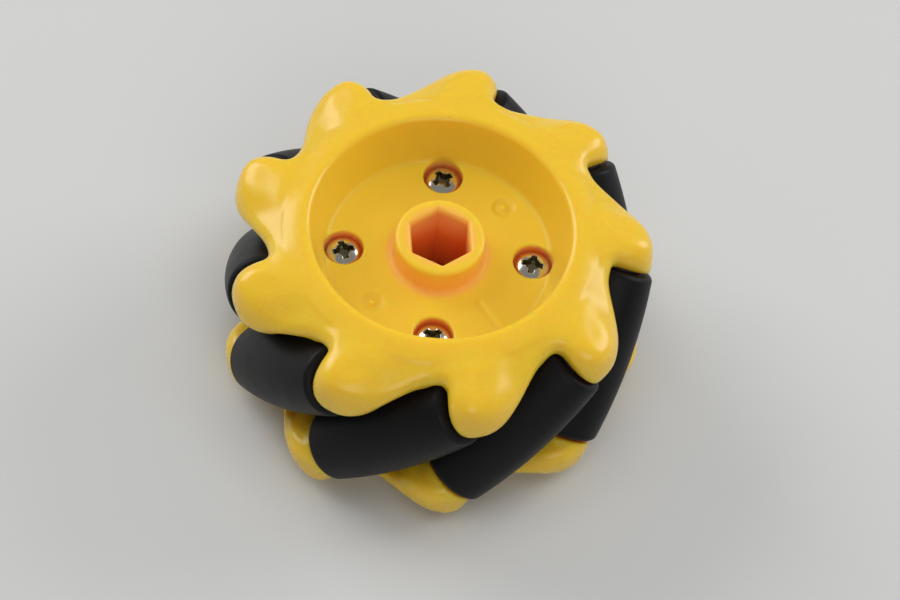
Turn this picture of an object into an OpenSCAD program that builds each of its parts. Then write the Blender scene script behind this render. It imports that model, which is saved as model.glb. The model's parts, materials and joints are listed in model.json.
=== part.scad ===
// Mecanum wheel: two plastic shells hold nine free-turning rubber rollers at 45 degrees to the wheel's
// plane. The wheel's axis is Z, the origin is its centre, and the first roller's middle lies on +X.
// The back shell is the front shell turned half a turn about X, so that the ends of the rollers meet
// the same fingers on both sides. Millimetres.

/* [Wheel] */
// Diameter over the middles of the rollers
wheel_d = 60.4; // [60:0.1:60.8]
// Width between the two rim faces
wheel_w = 32; // [31.6:0.1:32.6]
// Angle of the roller axles to the wheel's plane
tilt = 45; // [44:0.5:46]

/* [Rollers] */
// Number of rollers
roller_count = 9; // [8:1:9]
// Rubber diameter in the middle of a roller
roller_mid_d = 12; // [11.6:0.1:12.1]
// Rubber diameter at the ends of a roller
roller_end_d = 10; // [9.6:0.1:10.2]
// Length of the rubber
roller_len = 25.4; // [25:0.1:25.6]
// Radius of the rubber's rounded end edges
roller_edge_r = 0.9; // [0.5:0.1:1.2]
// Outer diameter of the plastic core inside the rubber
core_d = 5.8; // [5:0.1:6.4]
// How far the core stands out of the rubber at each end
core_proud = 0.3; // [0.1:0.1:0.4]
// Diameter of the steel axle pins
pin_d = 2; // [1.8:0.1:2.2]
// Radial clearance of a core on its pin
pin_clear = 0.05; // [0.03:0.01:0.08]
// Gap between the rubber and the finger at each end
end_gap = 1; // [0.8:0.1:1.2]
// Gap between the rubber and the shells elsewhere
side_gap = 0.55; // [0.5:0.05:0.6]

/* [Shell plates] */
// Radius of the plate at the notches between the fingers
notch_r = 24.35; // [24.1:0.05:24.5]
// Radius of the plate at the fingers
tip_r = 29.7; // [29.5:0.1:29.8]
// Radius of a rounded finger
finger_r = 3.7; // [3.5:0.1:3.8]
// Radius of the boss round each axle end
axle_boss_r = 3.85; // [3.6:0.05:3.9]
// Angle from a notch to the end of the steep side, in degrees
rise_deg = 8; // [7:0.5:9]
// Angle of the slow side, in degrees
fall_deg = 28.5; // [26:0.5:29]

/* [Recess and hub] */
// Diameter of the recess at the rim
mouth_d = 37; // [36.6:0.1:37.2]
// Diameter of the recess floor
floor_d = 32.2; // [32:0.1:32.6]
// Depth of the recess below the rim
recess_deep = 7.4; // [7:0.1:7.8]
// Thickness of the recess floor
floor_t = 2.5; // [2.2:0.1:2.8]
// Outer diameter of the drum inside the rollers
drum_d = 34.4; // [34.2:0.1:34.6]
// Wall of the drum
drum_t = 1.3; // [1.2:0.1:1.5]
// Outer diameter of the hub tube
hub_d = 12.8; // [12.4:0.1:13.2]
// Height of the hub tube above the recess floor
hub_rise = 4.6; // [4.2:0.1:5]
// Width across the flats of the hexagonal shaft socket
hex_af = 8.1; // [8:0.05:8.2]
// Direction of one flat of the socket, in degrees from X
hex_turn = 6.6; // [0:0.2:60]

/* [Screws] */
// Number of screws
screw_count = 4; // [3:1:4]
// Diameter of the circle the screws stand on
screw_circle_d = 27; // [26.6:0.1:27]
// Direction of the first screw, in degrees from X
screw_turn = 0; // [0:0.5:10]
// Diameter of a screw's thread
screw_d = 2.5; // [2.4:0.1:2.6]
// Diameter of a screw's head
screw_head_d = 4.5; // [4.3:0.1:4.7]
// Height of a screw's head
screw_head_h = 1.7; // [1.5:0.1:1.9]
// Length of a screw below its head
screw_len = 11.5; // [11:0.1:11.7]
// Diameter of the counterbores
seat_d = 5.5; // [5.2:0.1:5.6]
// Depth of the counterbores below the recess floor
seat_deep = 2.6; // [2.3:0.1:2.8]

/* [Hidden] */
$fn = 96;
eps = 0.05;
shell_colour = "#f3c22c";
rubber_colour = "#1b1b1c";
core_colour = "#2a2a2b";
steel_colour = "#c9cbce";

pitch = 360 / roller_count;
half_w = wheel_w / 2;
axle_r = (wheel_d - roller_mid_d) / 2;
half_len = roller_len / 2;

// Distances along an axle from its roller's middle: the face of the finger's seat, the end of the pin's
// pocket, the end of the boss and the middle of the finger
seat_s = half_len + end_gap;
pocket_s = seat_s + 2.8;
boss_s = seat_s + 3.4;
finger_s = seat_s + 0.8;

// The finger's middle: the point of the axle line at finger_s, as an angle, a radius and a height, which
// is a little above the axle
finger_lift = 1;
finger_turn = atan2(finger_s * cos(tilt), axle_r);
finger_reach = norm([axle_r, finger_s * cos(tilt)]);
finger_z = finger_s * sin(tilt) + finger_lift;
notch_turn = finger_turn - rise_deg - 0.1;

floor_z = half_w - recess_deep;
cavity_z = floor_z - floor_t;
rib_ring_r = 11;
rib_t = 1.2;
rib_count = 8;
post_r = 3.7;
pilot_r = screw_d / 2 - 0.1;
seat_z = floor_z - seat_deep;

rollers = [1 : roller_count];

// ---- placing -------------------------------------------------------------------------------------

// Puts a shape made along Z on the axle line of roller k
module on_axle(k) {
    rotate([0, 0, pitch * (k - 1)])
        translate([axle_r, 0, 0])
            rotate([tilt - 90, 0, 0])
                children();
}

// Radius of the rubber barrel at a distance s from its middle
function barrel_r(s) = roller_mid_d / 2 - (roller_mid_d - roller_end_d) / 2 * pow(s / half_len, 2);

module at_screws(flip = 1) {
    for (i = [0 : screw_count - 1])
        rotate([0, 0, flip * (screw_turn + 360 / screw_count * i)])
            translate([screw_circle_d / 2, 0, 0])
                children();
}

// ---- the plate with its fingers -------------------------------------------------------------------

// Outline of the plate: a steep rise to each finger and a slow fall to the next notch
rise_steps = 5;
fall_steps = 8;
function rise(t) = pow(1 - pow(1 - t, 2.5), 0.4);
function fall(t) = (1 + cos(180 * t)) / 2;
function plate_r(a) = notch_r + (tip_r - notch_r)
    * (a < rise_deg ? rise(a / rise_deg) : fall((a - rise_deg) / fall_deg));
plate_angles = concat(
    [for (i = [0 : rise_steps]) rise_deg * pow(i / rise_steps, 2)],
    [for (i = [1 : fall_steps]) rise_deg + fall_deg * i / fall_steps]
);

module plate_outline() {
    polygon([
        for (k = rollers)
            for (a = plate_angles)
                plate_r(a) * [cos(pitch * (k - 1) + notch_turn + a), sin(pitch * (k - 1) + notch_turn + a)]
    ]);
}

// Half section of one shell, from the wheel's mid plane up to the rim
module shell_section() {
    mouth_r = mouth_d / 2;
    hub_r = hub_d / 2;
    polygon([
        [0, 0],
        [drum_d / 2, 0],
        [drum_d / 2, half_w - 9.4],
        [mouth_r + 2.3, half_w - 3.4],
        [notch_r - 0.4, half_w - 4.8],
        [tip_r + 1, half_w - 7.4],
        [tip_r + 1, half_w - 5.4],
        [notch_r + 2, half_w - 3.4],
        [notch_r + 0.3, half_w - 2.4],
        [mouth_r + 4.3, half_w - 1.1],
        [mouth_r + 2.7, half_w - 0.3],
        [mouth_r + 1.3, half_w],
        [mouth_r + 0.3, half_w],
        [mouth_r, half_w - 0.3],
        [floor_d / 2, floor_z],
        [hub_r, floor_z],
        [hub_r, floor_z + hub_rise - 0.2],
        [hub_r - 0.2, floor_z + hub_rise],
        [0, floor_z + hub_rise]
    ]);
}

// One finger: a tapered rib that runs out to a round tip
module finger() {
    rib_start = mouth_d / 2 + 0.8;
    root_r = finger_r + 0.9;
    rotate([0, 0, finger_turn]) {
        translate([rib_start, 0, finger_z])
            rotate([0, 90, 0])
                cylinder(h = finger_reach - rib_start, r1 = root_r, r2 = finger_r - eps);
        translate([finger_reach, 0, finger_z])
            sphere(r = finger_r);
    }
}

// The boss that holds one end of roller k's axle
module axle_boss(k) {
    intersection() {
        on_axle(k)
            translate([0, 0, half_len - 1])
                cylinder(h = boss_s - half_len + 1, r = axle_boss_r);
        cylinder(h = half_w, r = tip_r - 0.15);
    }
}

module plate_and_fingers() {
    intersection() {
        linear_extrude(half_w)
            plate_outline();
        rotate_extrude()
            shell_section();
    }
    for (k = rollers) {
        rotate([0, 0, pitch * (k - 1)])
            finger();
        axle_boss(k);
    }
}

// ---- one shell ------------------------------------------------------------------------------------

// Space that a roller turns in: its barrel with a gap all round, along Z
module roller_room() {
    rotate_extrude()
        polygon(concat(
            [[0, seat_s], [0, -seat_s]],
            [for (i = [-2 : 2]) [barrel_r(seat_s * i / 2) + side_gap, seat_s * i / 2]]
        ));
}

// Hollow between the recess floor and the mid plane, left out of a ring rib, radial ribs and posts
module cavity(post_flip) {
    difference() {
        translate([0, 0, -eps])
            cylinder(h = cavity_z + eps, r = drum_d / 2 - drum_t);
        translate([0, 0, -1])
            cylinder(h = cavity_z + 2, r = hub_d / 2);
        difference() {
            translate([0, 0, -1])
                cylinder(h = cavity_z + 2, r = rib_ring_r + rib_t / 2);
            translate([0, 0, -2])
                cylinder(h = cavity_z + 4, r = rib_ring_r - rib_t / 2);
        }
        for (i = [0 : rib_count - 1])
            rotate([0, 0, post_flip * screw_turn + 360 / rib_count * (i + 0.5)])
                translate([0, -rib_t / 2, -1])
                    cube([drum_d / 2, rib_t, cavity_z + 2]);
        at_screws(post_flip)
            translate([0, 0, -1])
                cylinder(h = cavity_z + 2, r = post_r);
    }
}

module half_shell(post_flip) {
    difference() {
        plate_and_fingers();
        cavity(post_flip);
        for (k = rollers)
            on_axle(k) {
                roller_room();
                cylinder(h = 2 * pocket_s, r = pin_d / 2 + 0.02, center = true);
            }
    }
}

module hex_socket() {
    rotate([0, 0, hex_turn + 30])
        cylinder(h = wheel_w, d = hex_af / cos(30), center = true, $fn = 6);
}

module front_shell() {
    color(shell_colour)
        difference() {
            half_shell(1);
            hex_socket();
            at_screws() {
                translate([0, 0, seat_z])
                    cylinder(h = seat_deep + eps, d = seat_d);
                translate([0, 0, -1])
                    cylinder(h = floor_z, d = screw_d + 0.3);
            }
        }
}

module back_shell() {
    color(shell_colour)
        difference() {
            rotate([180, 0, 0])
                half_shell(-1);
            hex_socket();
            at_screws()
                translate([0, 0, seat_z - screw_len - 0.3])
                    cylinder(h = screw_len, r = pilot_r);
        }
}

// ---- screws ---------------------------------------------------------------------------------------

// Pan head with a cross recess, and a plain shank with a point
module hub_screw() {
    head_r = screw_head_d / 2;
    shank_r = screw_d / 2;
    slot_l = 2.8;
    slot_w = 0.72;
    slot_deep = 1;
    difference() {
        rotate_extrude()
            polygon([
                [0, -screw_len],
                [shank_r - 0.6, -screw_len],
                [shank_r, -screw_len + 1.2],
                [shank_r, 0],
                [head_r, 0],
                [head_r, screw_head_h * 0.5],
                [head_r * 0.9, screw_head_h * 0.8],
                [head_r * 0.6, screw_head_h * 0.97],
                [0, screw_head_h]
            ]);
        for (turn = [20, 110])
            rotate([0, 0, turn])
                translate([-slot_l / 2, -slot_w / 2, screw_head_h - slot_deep])
                    cube([slot_l, slot_w, 2 * slot_deep]);
    }
}

module hub_screws() {
    color(steel_colour)
        at_screws()
            translate([0, 0, seat_z])
                hub_screw();
}

// ---- rollers --------------------------------------------------------------------------------------

module axle_pin(k) {
    pin_half = pocket_s - 0.1;
    pin_r = pin_d / 2;
    color(steel_colour)
        on_axle(k)
            rotate_extrude()
                polygon([
                    [0, -pin_half],
                    [pin_r - 0.2, -pin_half],
                    [pin_r, 0.2 - pin_half],
                    [pin_r, pin_half - 0.2],
                    [pin_r - 0.2, pin_half],
                    [0, pin_half]
                ]);
}

module roller_core(k) {
    core_len = roller_len + 2 * core_proud;
    color(core_colour)
        on_axle(k)
            difference() {
                cylinder(h = core_len, d = core_d, center = true);
                cylinder(h = core_len + 1, r = pin_d / 2 + pin_clear, center = true);
            }
}

module roller_tyre(k) {
    straight = half_len - roller_edge_r;
    arc_r = barrel_r(straight) - roller_edge_r;
    barrel = [for (i = [-6 : 6]) [barrel_r(straight * i / 6), straight * i / 6]];
    top_edge = [
        for (a = [22.5 : 22.5 : 90])
            [arc_r + roller_edge_r * cos(a), straight + roller_edge_r * sin(a)]
    ];
    bottom_edge = [
        for (a = [90 : -22.5 : 22.5])
            [arc_r + roller_edge_r * cos(a), -straight - roller_edge_r * sin(a)]
    ];
    color(rubber_colour)
        on_axle(k)
            rotate_extrude()
                polygon(concat(
                    [[core_d / 2, half_len], [core_d / 2, -half_len]],
                    bottom_edge,
                    barrel,
                    top_edge
                ));
}

// ---- the wheel ------------------------------------------------------------------------------------

front_shell();
back_shell();
hub_screws();
for (k = rollers) {
    axle_pin(k);
    roller_core(k);
    roller_tyre(k);
}
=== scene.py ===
import json
import math

import bpy
import numpy as np
from mathutils import Matrix, Vector


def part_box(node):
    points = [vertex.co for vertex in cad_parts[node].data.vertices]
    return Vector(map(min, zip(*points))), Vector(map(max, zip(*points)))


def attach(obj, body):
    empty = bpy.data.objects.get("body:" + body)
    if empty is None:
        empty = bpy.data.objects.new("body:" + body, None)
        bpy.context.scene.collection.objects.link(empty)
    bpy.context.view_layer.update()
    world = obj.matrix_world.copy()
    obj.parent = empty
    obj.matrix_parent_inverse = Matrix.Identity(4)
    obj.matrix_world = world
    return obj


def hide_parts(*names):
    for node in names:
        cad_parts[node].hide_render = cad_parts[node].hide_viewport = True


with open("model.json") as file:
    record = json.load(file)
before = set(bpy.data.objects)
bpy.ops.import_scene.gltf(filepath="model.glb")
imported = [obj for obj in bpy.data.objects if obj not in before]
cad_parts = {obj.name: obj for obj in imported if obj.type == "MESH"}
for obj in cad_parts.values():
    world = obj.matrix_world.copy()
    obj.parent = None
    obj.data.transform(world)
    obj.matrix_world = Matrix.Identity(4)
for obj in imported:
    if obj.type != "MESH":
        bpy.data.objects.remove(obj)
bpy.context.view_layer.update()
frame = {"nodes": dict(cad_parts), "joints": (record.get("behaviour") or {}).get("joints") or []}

# Mecanum wheel. The CAD part gives the places, the axles and the joints. This script gives each shell its
# moulded skin, each roller its rubber and each screw its head. Sizes are in millimetres, angles in degrees
# from X, and new_piece() turns them into metres.

MM = 0.001

# ---- sizes ------------------------------------------------------------------------------------------

# The rollers' middles and axle directions, as the joints say
ROLLERS = [
    (j["child"], np.array(j["pos_m"]) / MM, np.array(j["axis"]))
    for j in frame["joints"]
]
PITCH = 360 / len(ROLLERS)
RIM_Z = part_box("front_shell")[1].z / MM
FLOOR_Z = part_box("back_shell")[0].z

# A roller's rubber: a barrel along the axle, measured from its middle
TYRE_R = (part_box("roller_tyre_1")[1].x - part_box("roller_tyre_1")[0].x) / 2 / MM
TYRE_END_R = 5.0
TYRE_HALF = 12.7
TYRE_BORE_R = 2.9
TYRE_EDGE_R = 0.9

# The room a roller turns in, and the boss round each end of its axle
ROLLER_GAP = 0.55
ROOM_HALF = TYRE_HALF + 0.4
ROOM_EDGE_R = 1.3
BOSS_R = 3.85
BOSS_LEN = 4.4

# Outline of the plate: from each notch a steep rise to a finger's tip and a slow fall to the next notch
NOTCH_R = 24.4
NOTCH_DEG = 15.2
NOTCH_ROUND_DEG = 3.0
NOTCH_ROUND = NOTCH_R * math.radians(NOTCH_ROUND_DEG)
TIP_R = 30.4
RISE_DEG = 9.1
FALL_DEG = 26.0
EDGE_R = 1.2

# The plate's top, level at the rim and bent down past BEND_R, and its underside, which is UNDER_Z high at
# the notches
BEND_R = 21.0
BEND_WIDE = 2.2
TOP_SLOPE = 0.3
UNDER_Z = 11.25
UNDER_SLOPE = 0.416

# The fingers, each between two radii along FINGER_DEG, with a top that falls outwards and to both sides
FINGER_DEG = NOTCH_DEG + 8.3
FINGER_ROOT = 19.5
FINGER_REACH = 25.0
FINGER_WIDE = (6.2, 5.3)
FINGER_TOP = 15.25
FINGER_SLOPE = 0.12
FINGER_DOME = 0.045
FINGER_LOW = 8.0

# The recess, the drum behind it and the hub with its shaft socket
MOUTH_R = 18.5
RECESS_R = 16.1
RECESS_Z = RIM_Z - 7.4
DRUM_R = 17.2
DRUM_FLARE_Z = 6.6
HUB_R = 6.4
HUB_Z = 13.2
HEX_FLAT = 4.05
HEX_DEG = 6.6

# Marks on the recess floor: two ejector marks with a raised dot, and a radial tick
MARK_RING_R = 12.6
MARK_DEG = (45, 225)
MARK_R = 1.6
MARK_DEEP = 0.3
DOT_R = 0.45
TICK_DEG = 129.4
TICK_R = 13.0
TICK_HALF = (3.6, 0.45, 0.32)

# The screws: the ring they stand on, their counterbores, pan heads and shanks
SCREW_RING_R = 13.5
SCREW_DEG = 0
SCREW_TURNS = (20, 50, -10, 35)
SEAT_R = 2.85
SEAT_Z = RECESS_Z - 2.25
HEAD_R = 2.6
HEAD_H = 1.8
DOME_DROP = 2.9
CROSS_DEEP = 1.3
SHANK_R = 1.25
SHANK_LEN = 11.5

# Grid steps of the meshes made from distance fields, and the steps along the sampled outline
SHELL_STEP = 0.34
SCREW_STEP = 0.11
OUTLINE_STEP = 0.15
OUTLINE_HALF = 32.0


# ---- signed distances: negative inside --------------------------------------------------------------

def ease(value, start, end):
    """0 before start, 1 past end and a smooth step between."""
    t = np.clip((value - start) / (end - start), 0, 1)
    return t * t * (3 - 2 * t)


def smooth_or(a, b, width):
    """Union with a soft fillet."""
    h = np.maximum(width - np.abs(a - b), 0) / width
    return np.minimum(a, b) - h * h * width / 4


def round_and(a, b, radius):
    """Intersection with its edge rounded."""
    corner = np.hypot(np.maximum(a + radius, 0), np.maximum(b + radius, 0))
    return np.minimum(np.maximum(a, b), -radius) + corner


def round_or(a, b, radius):
    """Union with its inner corner rounded."""
    return -round_and(-a, -b, radius)


def cut(a, b, radius):
    """a without b, with the edge rounded."""
    return round_and(a, -b, radius)


def polygon_distance(corners, u, v):
    """Distance to a closed outline."""
    best = np.full(np.broadcast(u, v).shape, np.float32(1e9))
    inside = np.zeros(best.shape, bool)
    for (au, av), (bu, bv) in zip(corners, np.roll(corners, -1, axis=0)):
        eu, ev = bu - au, bv - av
        t = np.clip(((u - au) * eu + (v - av) * ev) / (eu * eu + ev * ev), 0, 1)
        best = np.minimum(best, (u - au - t * eu) ** 2 + (v - av - t * ev) ** 2)
        if av != bv:
            inside ^= ((av > v) != (bv > v)) & (u < eu * (v - av) / ev + au)
    return np.where(inside, -1, 1) * np.sqrt(best)


def plate_radius(a):
    """Radius of the plate at a degrees past a notch, with a round corner where it meets the next one."""
    rise = (1 - (1 - np.clip(a / RISE_DEG, 0, 1)) ** 4) ** (1 / 4)
    fall = (1 + np.cos(np.pi * np.clip((a - RISE_DEG) / FALL_DEG, 0, 1))) / 2
    lobe = (TIP_R - NOTCH_R) * np.where(a < RISE_DEG, rise, fall)
    t = np.clip((a - PITCH) / NOTCH_ROUND_DEG + 1, 0, 1)
    corner = NOTCH_ROUND * np.where(a < RISE_DEG, 1, 1 - np.sqrt(1 - t ** 2))
    return NOTCH_R + np.maximum(lobe, corner)


def plate_outline():
    """Corners of the plate's outline, all the way round."""
    steps = np.concatenate([RISE_DEG * np.linspace(0, 1, 12, endpoint=False) ** 2,
                            np.linspace(RISE_DEG, PITCH - NOTCH_ROUND_DEG, 20, endpoint=False),
                            PITCH - NOTCH_ROUND_DEG * np.linspace(1, 0.02, 7) ** 2])
    turn = np.radians(NOTCH_DEG + np.add.outer(np.arange(len(ROLLERS)) * PITCH, steps)).ravel()
    radius = np.tile(plate_radius(steps), len(ROLLERS))
    return np.stack([radius * np.cos(turn), radius * np.sin(turn)], 1)


OUTLINE_AXIS = np.arange(-OUTLINE_HALF, OUTLINE_HALF + OUTLINE_STEP, OUTLINE_STEP, dtype=np.float32)
OUTLINE = polygon_distance(plate_outline(), OUTLINE_AXIS[:, None], OUTLINE_AXIS[None, :]).astype(np.float32)


def outline_distance(x, y):
    """Distance to the plate's outline, read from the sampled one."""
    last = len(OUTLINE_AXIS) - 1.001
    u, v = np.broadcast_arrays(*(np.clip((w + OUTLINE_HALF) / OUTLINE_STEP, 0, last) for w in (x, y)))
    i, j = u.astype(int), v.astype(int)
    fu, fv = u - i, v - j
    low = OUTLINE[i, j] * (1 - fv) + OUTLINE[i, j + 1] * fv
    high = OUTLINE[i + 1, j] * (1 - fv) + OUTLINE[i + 1, j + 1] * fv
    return low * (1 - fu) + high * fu


def along_axle(k, x, y, z):
    """Distance from roller k's middle along its axle, and distance from the axle."""
    (cx, cy, cz), (ax, ay, az) = ROLLERS[k][1], ROLLERS[k][2]
    s = (x - cx) * ax + (y - cy) * ay + (z - cz) * az
    square = (x - cx) ** 2 + (y - cy) ** 2 + (z - cz) ** 2 - s * s
    return s, np.sqrt(np.maximum(square, 0))


def barrel_radius(s):
    """Radius of a roller's rubber at a distance s from its middle."""
    return TYRE_R - (TYRE_R - TYRE_END_R) * (s / TYRE_HALF) ** 2


def first_sector(x, y):
    """The point turned by whole pitches into the first roller's sector."""
    pitch = math.radians(PITCH)
    turn = np.round(np.arctan2(y, x) / pitch) * pitch
    return x * np.cos(turn) + y * np.sin(turn), y * np.cos(turn) - x * np.sin(turn)


def finger(k, x, y, z):
    """A broad finger with a pillow-shaped top."""
    turn = math.radians(FINGER_DEG + k * PITCH)
    along = x * math.cos(turn) + y * math.sin(turn)
    across = y * math.cos(turn) - x * math.sin(turn)
    t = np.clip((along - FINGER_ROOT) / (FINGER_REACH - FINGER_ROOT), 0, 1)
    past = along - FINGER_ROOT - (FINGER_REACH - FINGER_ROOT) * t
    wide = FINGER_WIDE[0] + (FINGER_WIDE[1] - FINGER_WIDE[0]) * t
    top = FINGER_TOP - FINGER_SLOPE * (along - BEND_R) - FINGER_DOME * across ** 2
    return round_and(round_and(np.hypot(past, across) - wide, z - top, 2.8), FINGER_LOW - z, 1.5)


def plate(r):
    """Heights of the plate's top and underside at a radius."""
    past = r - BEND_R
    top = RIM_Z + 0.15 - TOP_SLOPE * (past + np.sqrt(past ** 2 + BEND_WIDE ** 2))
    return top, UNDER_Z - UNDER_SLOPE * (r - NOTCH_R + 0.4)


def plate_and_fingers(x, y, z):
    """The rim, the plate, nine fingers and nine axle bosses, cut clear of the rollers."""
    r = np.sqrt(x * x + y * y)
    outline = outline_distance(x, y)
    top, under = plate(r)
    above = (z - top) * 0.95
    drum = round_and((r - DRUM_R - 0.6 * np.maximum(z - DRUM_FLARE_Z, 0)) * 0.86, above, 0.4)
    body = round_and(above, (under - z) * 0.92, 0.4)
    fillet = 0.25 + 2.6 * ease(r, FINGER_ROOT, NOTCH_R - 0.4)
    x, y = first_sector(x, y)
    axles = [along_axle(k, x, y, z) for k in (-1, 0, 1)]
    for k, (s, off) in zip((-1, 0, 1), axles):
        boss = round_and(off - BOSS_R, np.abs(s - TYRE_HALF) - BOSS_LEN, 0.8)
        body = smooth_or(body, smooth_or(finger(k, x, y, z), boss, 2.0), fillet)
    body = round_or(round_and(body, outline, EDGE_R), drum, 0.6)
    for s, off in axles:
        room = round_and(off - barrel_radius(s) - ROLLER_GAP, np.abs(s) - ROOM_HALF, ROOM_EDGE_R)
        body = cut(body, room, 0.25)
    return body


def hexagon(x, y):
    """Distance to the shaft socket's six flats."""
    sides = [
        np.abs(x * math.cos(a) + y * math.sin(a)) - HEX_FLAT
        for a in np.radians(HEX_DEG + np.array([0, 60, 120]))
    ]
    return np.maximum.reduce(sides)


def floor_marks(body, x, y, z):
    """Two shallow ejector marks with a raised middle, and one radial tick, on the recess floor."""
    for turn in np.radians(MARK_DEG):
        off = np.hypot(x - MARK_RING_R * math.cos(turn), y - MARK_RING_R * math.sin(turn))
        body = cut(body, round_and(off - MARK_R, RECESS_Z - MARK_DEEP - z, 0.1), 0.1)
        dot = round_and(off - DOT_R, z - RECESS_Z - 0.15, 0.2)
        body = smooth_or(body, round_and(dot, RECESS_Z - 1 - z, 0.1), 0.15)
    turn = math.radians(TICK_DEG)
    along = x * math.cos(turn) + y * math.sin(turn)
    across = y * math.cos(turn) - x * math.sin(turn)
    tick = round_and(np.abs(across) - TICK_HALF[1], np.abs(along - TICK_R) - TICK_HALF[0], 0.3)
    tick = round_and(tick, np.abs(z - RECESS_Z) - TICK_HALF[2], 0.2)
    return smooth_or(body, tick, 0.2)


def half_shell(x, y, z):
    """One shell on the +Z side, without its screw seats."""
    r = np.sqrt(x * x + y * y)
    taper = (MOUTH_R - RECESS_R) / (RIM_Z - 0.3 - RECESS_Z)
    wall = (r - RECESS_R - taper * (z - RECESS_Z)) / math.hypot(1, taper)
    recess = round_and(wall, RECESS_Z - z, 0.5)
    body = cut(plate_and_fingers(x, y, z), recess, 0.9)
    body = floor_marks(body, x, y, z)
    hub = round_and(r - HUB_R, z - HUB_Z, 0.6)
    body = round_or(body, hub, 0.7)
    body = cut(body, hexagon(x, y) - 0.45 * np.maximum(z - HUB_Z + 0.7, 0), 0.2)
    return round_and(body, -z, 0.15)


def screw_places():
    """The screws' axes, as X and Y."""
    turns = np.radians(SCREW_DEG + 90 * np.arange(4))
    return [(SCREW_RING_R * math.cos(a), SCREW_RING_R * math.sin(a)) for a in turns]


def front_shell(x, y, z):
    """The shell with the screws' counterbores."""
    body = half_shell(x, y, z)
    for cx, cy in screw_places():
        seat = np.maximum(np.hypot(x - cx, y - cy) - SEAT_R, SEAT_Z - z)
        body = cut(body, seat, 0.2)
    return body


def cross_recess(x, y, z):
    """Tapered cross-shaped hole in a screw's head."""
    low = HEAD_H - CROSS_DEEP
    lean = 0.22 * (z - low)
    arms = [
        np.maximum(np.abs(u) - 0.3 - lean * 0.5, np.abs(v) - 1.15 - lean * 1.6)
        for u, v in ((x, y), (y, x))
    ]
    core = np.hypot(x, y) - 0.6 - lean * 1.6
    return np.maximum(np.minimum(np.minimum(*arms), core), low - z)


def screw(x, y, z):
    """Pan head with a cross recess, and a plain shank, its seat at z = 0."""
    r = np.hypot(x, y)
    dome = np.sqrt(r ** 2 + (z + DOME_DROP) ** 2) - (HEAD_H + DOME_DROP)
    head = round_and(round_and(dome, r - HEAD_R, 0.45), -z, 0.1)
    shank = round_and(round_and(r - SHANK_R, -SHANK_LEN - z, 0.5), z - 0.2, 0.1)
    body = round_or(head, shank, 0.1)
    return cut(body, cross_recess(x, y, z), 0.05)


# ---- meshes -----------------------------------------------------------------------------------------

def gradient(field, points, h):
    """Slope of the field at each point."""
    parts = []
    for i in range(3):
        shift = np.zeros(3)
        shift[i] = h
        parts.append(field(*(points + shift).T) - field(*(points - shift).T))
    return np.stack(parts, 1) / (2 * h)


def onto_surface(field, points, step):
    """The points moved onto the field's zero, by at most 0.4 of a grid step at a time."""
    for _ in range(3):
        slope = gradient(field, points, 0.1 * step)
        square = np.maximum((slope ** 2).sum(1), 0.1)
        move = np.clip(field(*points.T) / square, -0.4 * step, 0.4 * step)
        points = points - move[:, None] * slope
    return points


def surface(field, low, high, step):
    """Points and quads over the field's zero, found on a grid between two corners."""
    axes = [np.arange(a, b + step, step, dtype=np.float32) for a, b in zip(low, high)]
    value = field(axes[0][:, None, None], axes[1][None, :, None], axes[2][None, None, :])
    inside = value < 0
    unit = np.eye(3, dtype=int)

    # One vertex for each cell that the surface passes, at the middle of its edges' crossings
    corners = np.array([[i, j, k] for i in (0, 1) for j in (0, 1) for k in (0, 1)])
    cells = np.array(value.shape) - 1
    count = np.zeros(cells, np.int8)
    for i, j, k in corners:
        count += inside[i:i + cells[0], j:j + cells[1], k:k + cells[2]]
    cell = np.argwhere((count > 0) & (count < 8))
    number = np.full(cells, -1, np.int64)
    number[tuple(cell.T)] = np.arange(len(cell))
    total, hits = np.zeros((len(cell), 3)), np.zeros((len(cell), 1))
    for a in corners:
        for axis in range(3):
            if a[axis] == 0:
                b = a + unit[axis]
                va, vb = value[tuple((cell + a).T)], value[tuple((cell + b).T)]
                crossed = (va < 0) != (vb < 0)
                t = np.where(crossed, va / np.where(crossed, va - vb, 1), 0)
                total += crossed[:, None] * (a + t[:, None] * (b - a))
                hits += crossed[:, None]
    points = onto_surface(field, np.array(low) + (cell + total / hits) * step, step)

    # One quad round each grid edge that crosses the surface, wound to face outwards
    quads = []
    for axis in range(3):
        starts, ends = [slice(None)] * 3, [slice(None)] * 3
        starts[axis], ends[axis] = slice(0, -1), slice(1, None)
        first, last = inside[tuple(starts)], inside[tuple(ends)]
        edge = np.argwhere(first != last)
        u, v = unit[(axis + 1) % 3], unit[(axis + 2) % 3]
        quad = np.stack([number[tuple((edge - d).T)] for d in (0 * u, u, u + v, v)], 1)
        turned = last[tuple(edge.T)]
        quad[turned] = quad[turned][:, ::-1]
        quads.append(quad)
    return points, np.concatenate(quads)


def new_piece(name, points, quads, material, body, slot, *nodes):
    """A smooth-shaded mesh piece that rides on a body and stands for its CAD nodes."""
    mesh = bpy.data.meshes.new(name)
    mesh.vertices.add(len(points))
    mesh.vertices.foreach_set("co", (np.asarray(points) * MM).astype(np.float32).ravel())
    mesh.loops.add(quads.size)
    mesh.loops.foreach_set("vertex_index", quads.astype(np.int32).ravel())
    mesh.polygons.add(len(quads))
    mesh.polygons.foreach_set("loop_start", np.arange(0, quads.size, 4, dtype=np.int32))
    mesh.polygons.foreach_set("use_smooth", np.ones(len(quads), bool))
    mesh.update(calc_edges=True)
    mesh.materials.append(material)
    piece = bpy.data.objects.new(name, mesh)
    bpy.context.scene.collection.objects.link(piece)
    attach(piece, body)
    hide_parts(*nodes)
    return piece


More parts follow.
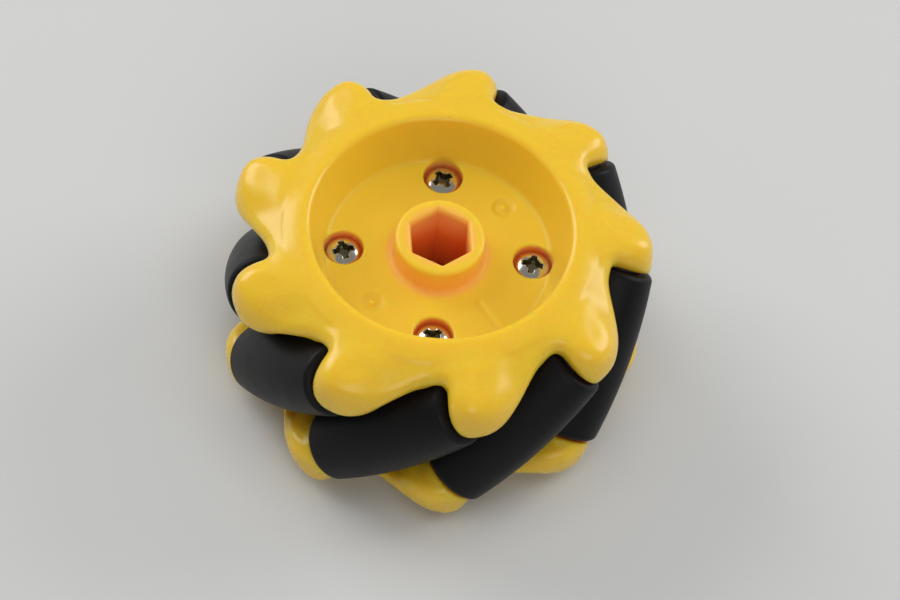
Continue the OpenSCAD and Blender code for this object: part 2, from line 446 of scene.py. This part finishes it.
def lathe(profile, segments):
    """Points and quads of a closed profile of (radius, height) pairs turned about Z."""
    turn = 2 * np.pi * np.arange(segments) / segments
    profile = np.asarray(profile)
    points = np.stack([
        np.outer(np.cos(turn), profile[:, 0]),
        np.outer(np.sin(turn), profile[:, 0]),
        np.tile(profile[:, 1], (segments, 1)),
    ], 2).reshape(-1, 3)
    n = len(profile)
    i, j = np.meshgrid(np.arange(segments), np.arange(n), indexing="ij")
    ni, nj = (i + 1) % segments, (j + 1) % n
    quads = np.stack([i * n + j, ni * n + j, ni * n + nj, i * n + nj], 2).reshape(-1, 4)
    return points, quads


# ---- materials --------------------------------------------------------------------------------------

def new_material(name, colour, roughness, **settings):
    """A Principled material. Returns it with its node tree and shader."""
    material = bpy.data.materials.new(name)
    material.use_nodes = True
    tree = material.node_tree
    shader = tree.nodes["Principled BSDF"]
    shader.inputs["Base Color"].default_value = (*colour, 1)
    shader.inputs["Roughness"].default_value = roughness
    for key, value in settings.items():
        shader.inputs[key.replace("_", " ")].default_value = value
    return material, tree, shader


def noise(tree, scale, detail=2.0, distortion=0.0):
    """Noise over the object's own coordinates, scale in features per metre."""
    place = tree.nodes.new("ShaderNodeTexCoord")
    made = tree.nodes.new("ShaderNodeTexNoise")
    made.inputs["Scale"].default_value = scale
    made.inputs["Detail"].default_value = detail
    made.inputs["Distortion"].default_value = distortion
    tree.links.new(place.outputs["Object"], made.inputs["Vector"])
    return made.outputs["Fac"]


def between(tree, factor, low, high, start=0.0, end=1.0):
    """The factor from start to end as low to high, held outside."""
    made = tree.nodes.new("ShaderNodeMapRange")
    made.inputs["From Min"].default_value = start
    made.inputs["From Max"].default_value = end
    made.inputs["To Min"].default_value = low
    made.inputs["To Max"].default_value = high
    tree.links.new(factor, made.inputs["Value"])
    return made.outputs["Result"]


def maths(tree, operation, *inputs):
    """One math node. Each input is a number or another node's output."""
    made = tree.nodes.new("ShaderNodeMath")
    made.operation = operation
    for socket, value in zip(made.inputs, inputs):
        if isinstance(value, (int, float)):
            socket.default_value = value
        else:
            tree.links.new(value, socket)
    return made.outputs[0]


def blend_colours(tree, factor, first, second):
    """The factor's 0 to 1 as a step between two colours, each given or another node's output."""
    made = tree.nodes.new("ShaderNodeMix")
    made.data_type = "RGBA"
    for socket, colour in ((made.inputs[6], first), (made.inputs[7], second)):
        if isinstance(colour, tuple):
            socket.default_value = (*colour, 1)
        else:
            tree.links.new(colour, socket)
    tree.links.new(factor, made.inputs[0])
    return made.outputs[2]


def add_bump(tree, shader, height, strength, distance):
    """Bump from a height, distance in metres."""
    made = tree.nodes.new("ShaderNodeBump")
    made.inputs["Strength"].default_value = strength
    made.inputs["Distance"].default_value = distance
    tree.links.new(height, made.inputs["Height"])
    tree.links.new(made.outputs["Normal"], shader.inputs["Normal"])


def product(tree, *factors):
    """All the factors multiplied."""
    made = factors[0]
    for factor in factors[1:]:
        made = maths(tree, "MULTIPLY", made, factor)
    return made


def length_of(tree, u, v):
    """Length of the vector (u, v)."""
    return maths(tree, "SQRT", maths(tree, "ADD", product(tree, u, u), product(tree, v, v)))


def wheel_places(tree):
    """Distance from the axis, height off the middle plane and distance from the nearest screw, in mm."""
    place = tree.nodes.new("ShaderNodeTexCoord")
    split = tree.nodes.new("ShaderNodeSeparateXYZ")
    tree.links.new(place.outputs["Object"], split.inputs[0])
    x, y, z = (product(tree, maths(tree, "ABSOLUTE", v), 1 / MM) for v in split.outputs)
    past = maths(tree, "SUBTRACT", maths(tree, "MAXIMUM", x, y), SCREW_RING_R)
    return length_of(tree, x, y), z, length_of(tree, past, maths(tree, "MINIMUM", x, y))


def painted_glow_amount(tree, off_axis, height, off_screw):
    """Amount of painted warm glow and shade: 0 on the rim, 1 deep in the shaft socket, less round the hub's
    foot and in the screw holes.
    """
    # Painted glow and shade: the shaft socket, the hub's foot and the screw holes get a warmer colour that
    # stands in for light passing through and bouncing inside the plastic
    socket = product(
        tree,
        between(tree, off_axis, 1, 0, 4.9, 5.3),
        between(tree, height, 1, 0.25, HUB_Z - 6, HUB_Z - 0.3),
    )
    painted_hub_foot_glow = product(
        tree,
        between(tree, off_axis, 0, 1, HUB_R - 0.35, HUB_R - 0.1),
        between(tree, off_axis, 1, 0, HUB_R + 0.1, HUB_R + 1.6),
        between(tree, height, 0.34, 0, HUB_Z - 2.4, HUB_Z - 0.1),
    )
    painted_screw_hole_glow = product(
        tree,
        between(tree, off_screw, 1, 0, SEAT_R + 0.05, SEAT_R + 0.3),
        between(tree, height, 0.85, 0, RECESS_Z - 1.2, RECESS_Z - 0.1),
    )
    return maths(tree, "MAXIMUM", maths(tree, "MAXIMUM", socket, painted_hub_foot_glow), painted_screw_hole_glow)


def yellow_plastic():
    """Glossy moulded yellow plastic, with an orange-red painted glow and shade in the shaft socket, round
    the hub's foot and in the screw holes.
    """
    material, tree, shader = new_material("yellow_plastic", (0.82, 0.54, 0.032), 0.3)
    shader.inputs["Subsurface Weight"].default_value = 0.75
    shader.inputs["Subsurface Radius"].default_value = (1.0, 0.4, 0.06)
    shader.inputs["Subsurface Scale"].default_value = 0.0035
    shader.inputs["IOR"].default_value = 1.5
    cloud = noise(tree, 90, 3)
    yellow = blend_colours(tree, cloud, (0.83, 0.55, 0.033), (0.815, 0.535, 0.03))
    off_axis, height, off_screw = wheel_places(tree)
    painted_glow = painted_glow_amount(tree, off_axis, height, off_screw)
    # Painted glow and shade: the base colour turns peach, then orange-red, as the painted glow amount rises
    painted_peach = blend_colours(tree, between(tree, painted_glow, 0, 1, 0, 0.5), yellow, (0.97, 0.43, 0.12))
    painted_warm = blend_colours(tree, between(tree, painted_glow, 0, 1, 0.5, 1), painted_peach, (0.98, 0.27, 0.05))
    tree.links.new(painted_warm, shader.inputs["Base Color"])
    satin = between(tree, off_axis, 0.2, 0, MOUTH_R - 1.5, MOUTH_R + 0.3)
    gloss = between(tree, noise(tree, 260, 4), 0.22, 0.33)
    tree.links.new(maths(tree, "ADD", gloss, satin), shader.inputs["Roughness"])
    add_bump(tree, shader, noise(tree, 160, 2), 0.16, 0.00025)
    return material


def black_rubber():
    """Soft satin rubber with a fine grain and a dusty bloom."""
    material, tree, shader = new_material("black_rubber", (0.008, 0.008, 0.009), 0.5)
    shader.inputs["Specular IOR Level"].default_value = 0.16
    bloom = noise(tree, 320, 5)
    tint = blend_colours(tree, bloom, (0.004, 0.004, 0.005), (0.008, 0.008, 0.009))
    tree.links.new(tint, shader.inputs["Base Color"])
    tree.links.new(between(tree, bloom, 0.38, 0.55), shader.inputs["Roughness"])
    add_bump(tree, shader, noise(tree, 5000, 3), 0.25, 0.00003)
    return material


def black_nylon():
    """Matte black nylon of the cores."""
    material, tree, shader = new_material("black_nylon", (0.02, 0.02, 0.022), 0.6)
    tree.links.new(between(tree, noise(tree, 900, 4), 0.5, 0.7), shader.inputs["Roughness"])
    add_bump(tree, shader, noise(tree, 3000, 3), 0.2, 0.00003)
    return material


def bright_metal(name, colour, rough_low, rough_high, scale):
    """Metal with fine scratches in its gloss."""
    material, tree, shader = new_material(name, colour, rough_low, Metallic=1.0)
    wear = noise(tree, scale, 5, 0.4)
    tree.links.new(between(tree, wear, rough_low, rough_high), shader.inputs["Roughness"])
    dull = tuple(c * 0.8 for c in colour)
    tree.links.new(blend_colours(tree, wear, dull, colour), shader.inputs["Base Color"])
    add_bump(tree, shader, wear, 0.15, 0.00002)
    return material


# ---- the pieces -------------------------------------------------------------------------------------

def make_shells():
    """Both skins are made rim up. The back one is then turned half a turn about X."""
    plastic = yellow_plastic()
    low = (-TIP_R - 2, -TIP_R - 2, -0.6)
    high = (TIP_R + 2, TIP_R + 2, RIM_Z + 0.6)
    for name, field, turned in (
        ("front_shell", front_shell, (1, 1, 1)),
        ("back_shell", half_shell, (1, -1, -1)),
    ):
        points, quads = surface(field, low, high, SHELL_STEP)
        new_piece(name + "_skin", points * turned, quads, plastic, "hub", "shell", name)


def tyre_profile():
    """Closed section of the rubber: the barrel, its rounded ends and the bore."""
    straight = TYRE_HALF - TYRE_EDGE_R
    s = np.linspace(-straight, straight, 21)
    barrel = np.stack([barrel_radius(s), s], 1)
    turn = np.radians(np.linspace(0, 90, 7)[1:])
    corner_r = barrel[-1, 0] - TYRE_EDGE_R
    top = np.stack([corner_r + TYRE_EDGE_R * np.cos(turn), straight + TYRE_EDGE_R * np.sin(turn)], 1)
    bottom = top[::-1] * (1, -1)
    face = np.linspace(corner_r, TYRE_BORE_R, 4)[1:]
    top_face = np.stack([face, np.full(3, TYRE_HALF)], 1)
    bore = np.stack([np.full(4, TYRE_BORE_R), np.linspace(TYRE_HALF, -TYRE_HALF, 6)[1:-1]], 1)
    return np.concatenate([bottom, barrel, top, top_face, bore, top_face[::-1] * (1, -1)])


def make_tyres():
    """One barrel, placed on each roller's axle."""
    rubber = black_rubber()
    points, quads = lathe(tyre_profile(), 96)
    for body, middle, axis in ROLLERS:
        side = np.cross(axis, middle) / np.linalg.norm(np.cross(axis, middle))
        placed = points @ np.stack([np.cross(side, axis), side, axis]) + middle
        number = body.split("_")[-1]
        new_piece(f"tyre_{number}", placed, quads, rubber, body, "tyre", f"roller_tyre_{number}")


def make_screws():
    """Four screws as one piece, each turned its own way, with darker metal painted into the cross recess as
    painted shade.
    """
    nickel = bright_metal("nickel", (0.88, 0.86, 0.78), 0.1, 0.24, 700)
    # Painted shade: a darker, olive metal stands in for the shade inside each cross recess
    painted_shade_metal = bright_metal("nickel_painted_shade", (0.32, 0.3, 0.2), 0.2, 0.35, 900)
    low, high = (-HEAD_R, -HEAD_R, -SHANK_LEN - 0.5), (HEAD_R, HEAD_R, HEAD_H + 0.3)
    points, quads = surface(screw, low, high, SCREW_STEP)
    middles = points[quads].mean(1)
    in_cross = (cross_recess(*middles.T) < 0.04) & (middles[:, 2] > HEAD_H - CROSS_DEEP - 0.2)
    all_points, all_quads = [], []
    for i, (cx, cy) in enumerate(screw_places()):
        spin = np.array(Matrix.Rotation(math.radians(-SCREW_TURNS[i]), 3, "Z"))
        all_points.append(points @ spin + (cx, cy, SEAT_Z))
        all_quads.append(quads + i * len(points))
    piece = new_piece("hub_screws_skin", np.concatenate(all_points), np.concatenate(all_quads), nickel,
                      "hub", "screw", "hub_screws")
    piece.data.materials.append(painted_shade_metal)
    # Painted shade: faces inside the cross recess take the darker metal
    in_cross = np.tile(in_cross, len(all_quads)).astype(np.int32)
    piece.data.polygons.foreach_set("material_index", in_cross)


def finish_cad_nodes():
    """Materials for the cores and pins, which keep their CAD shapes."""
    nylon = black_nylon()
    steel = bright_metal("pin_steel", (0.6, 0.6, 0.6), 0.22, 0.4, 1500)
    for name, node in frame["nodes"].items():
        for kind, material in (("roller_core", nylon), ("axle_pin", steel)):
            if name.startswith(kind):
                node.data.materials.clear()
                node.data.materials.append(material)


# ---- floor, light and camera ------------------------------------------------------------------------

# How the wheel lies in the photograph, and where the camera stands: it looks at the middle of the mouth
# from VIEW_DISTANCE metres, and SIDE_STEP and UP_STEP move it off that line
PHOTO_TURN = Matrix.Rotation(math.radians(177), 3, "Z")
VIEW_DOWN = math.radians(57)
VIEW_ROLL = math.radians(6.9)
VIEW_DISTANCE = 0.4625
LENS = 132
SIDE_STEP = -0.001163
UP_STEP = 0.01051


def photo(right, away, up):
    """A direction or place seen from the photograph, in the wheel's frame."""
    return PHOTO_TURN @ Vector((right, away, up))


def make_camera():
    forward = photo(0, math.cos(VIEW_DOWN), -math.sin(VIEW_DOWN))
    right = photo(1, 0, 0)
    up = photo(0, math.sin(VIEW_DOWN), math.cos(VIEW_DOWN))
    side = right * math.cos(VIEW_ROLL) + up * math.sin(VIEW_ROLL)
    top = up * math.cos(VIEW_ROLL) - right * math.sin(VIEW_ROLL)
    mouth = Vector((0, 0, RIM_Z * MM))
    place = mouth - forward * VIEW_DISTANCE - side * SIDE_STEP - top * UP_STEP
    camera = bpy.data.objects.new("camera", bpy.data.cameras.new("camera"))
    camera.data.lens = LENS
    camera.data.clip_start = 0.01
    turn = Matrix((side, top, -forward)).transposed()
    camera.matrix_world = Matrix.Translation(place) @ turn.to_4x4()
    bpy.context.scene.collection.objects.link(camera)
    bpy.context.scene.camera = camera


def area_light(name, where, size, watts, mirrored=True):
    """A square soft light that faces the wheel. One that isn't mirrored leaves no reflection."""
    data = bpy.data.lights.new(name, "AREA")
    data.size = size
    data.energy = watts
    light = bpy.data.objects.new(name, data)
    light.location = where
    light.rotation_euler = where.to_track_quat("Z", "Y").to_euler()
    light.visible_glossy = mirrored
    bpy.context.scene.collection.objects.link(light)


def make_studio():
    bpy.ops.mesh.primitive_plane_add(size=6, location=(0, 0, FLOOR_Z))
    floor = bpy.context.object
    floor.name = "floor"
    material, tree, shader = new_material("pale_floor", (0.6, 0.6, 0.59), 0.7)
    tree.links.new(between(tree, noise(tree, 40, 3), 0.62, 0.78), shader.inputs["Roughness"])
    floor.data.materials.append(material)
    area_light("key", photo(-0.75, 0.5, 0.55), 0.65, 5.5)
    area_light("side", photo(0.78, 0.48, 0.45), 0.55, 4)
    area_light("top", photo(0.05, -0.05, 1.0), 0.7, 4.0, mirrored=False)
    area_light("fill", photo(0.2, -0.8, 0.65), 0.6, 2.0)
    world = bpy.data.worlds.new("studio")
    world.use_nodes = True
    world.node_tree.nodes["Background"].inputs["Color"].default_value = (1, 1, 1, 1)
    world.node_tree.nodes["Background"].inputs["Strength"].default_value = 0.22
    bpy.context.scene.world = world
    bpy.context.scene.view_settings.view_transform = "Standard"


make_camera()
make_studio()
make_shells()
make_tyres()
make_screws()
finish_cad_nodes()
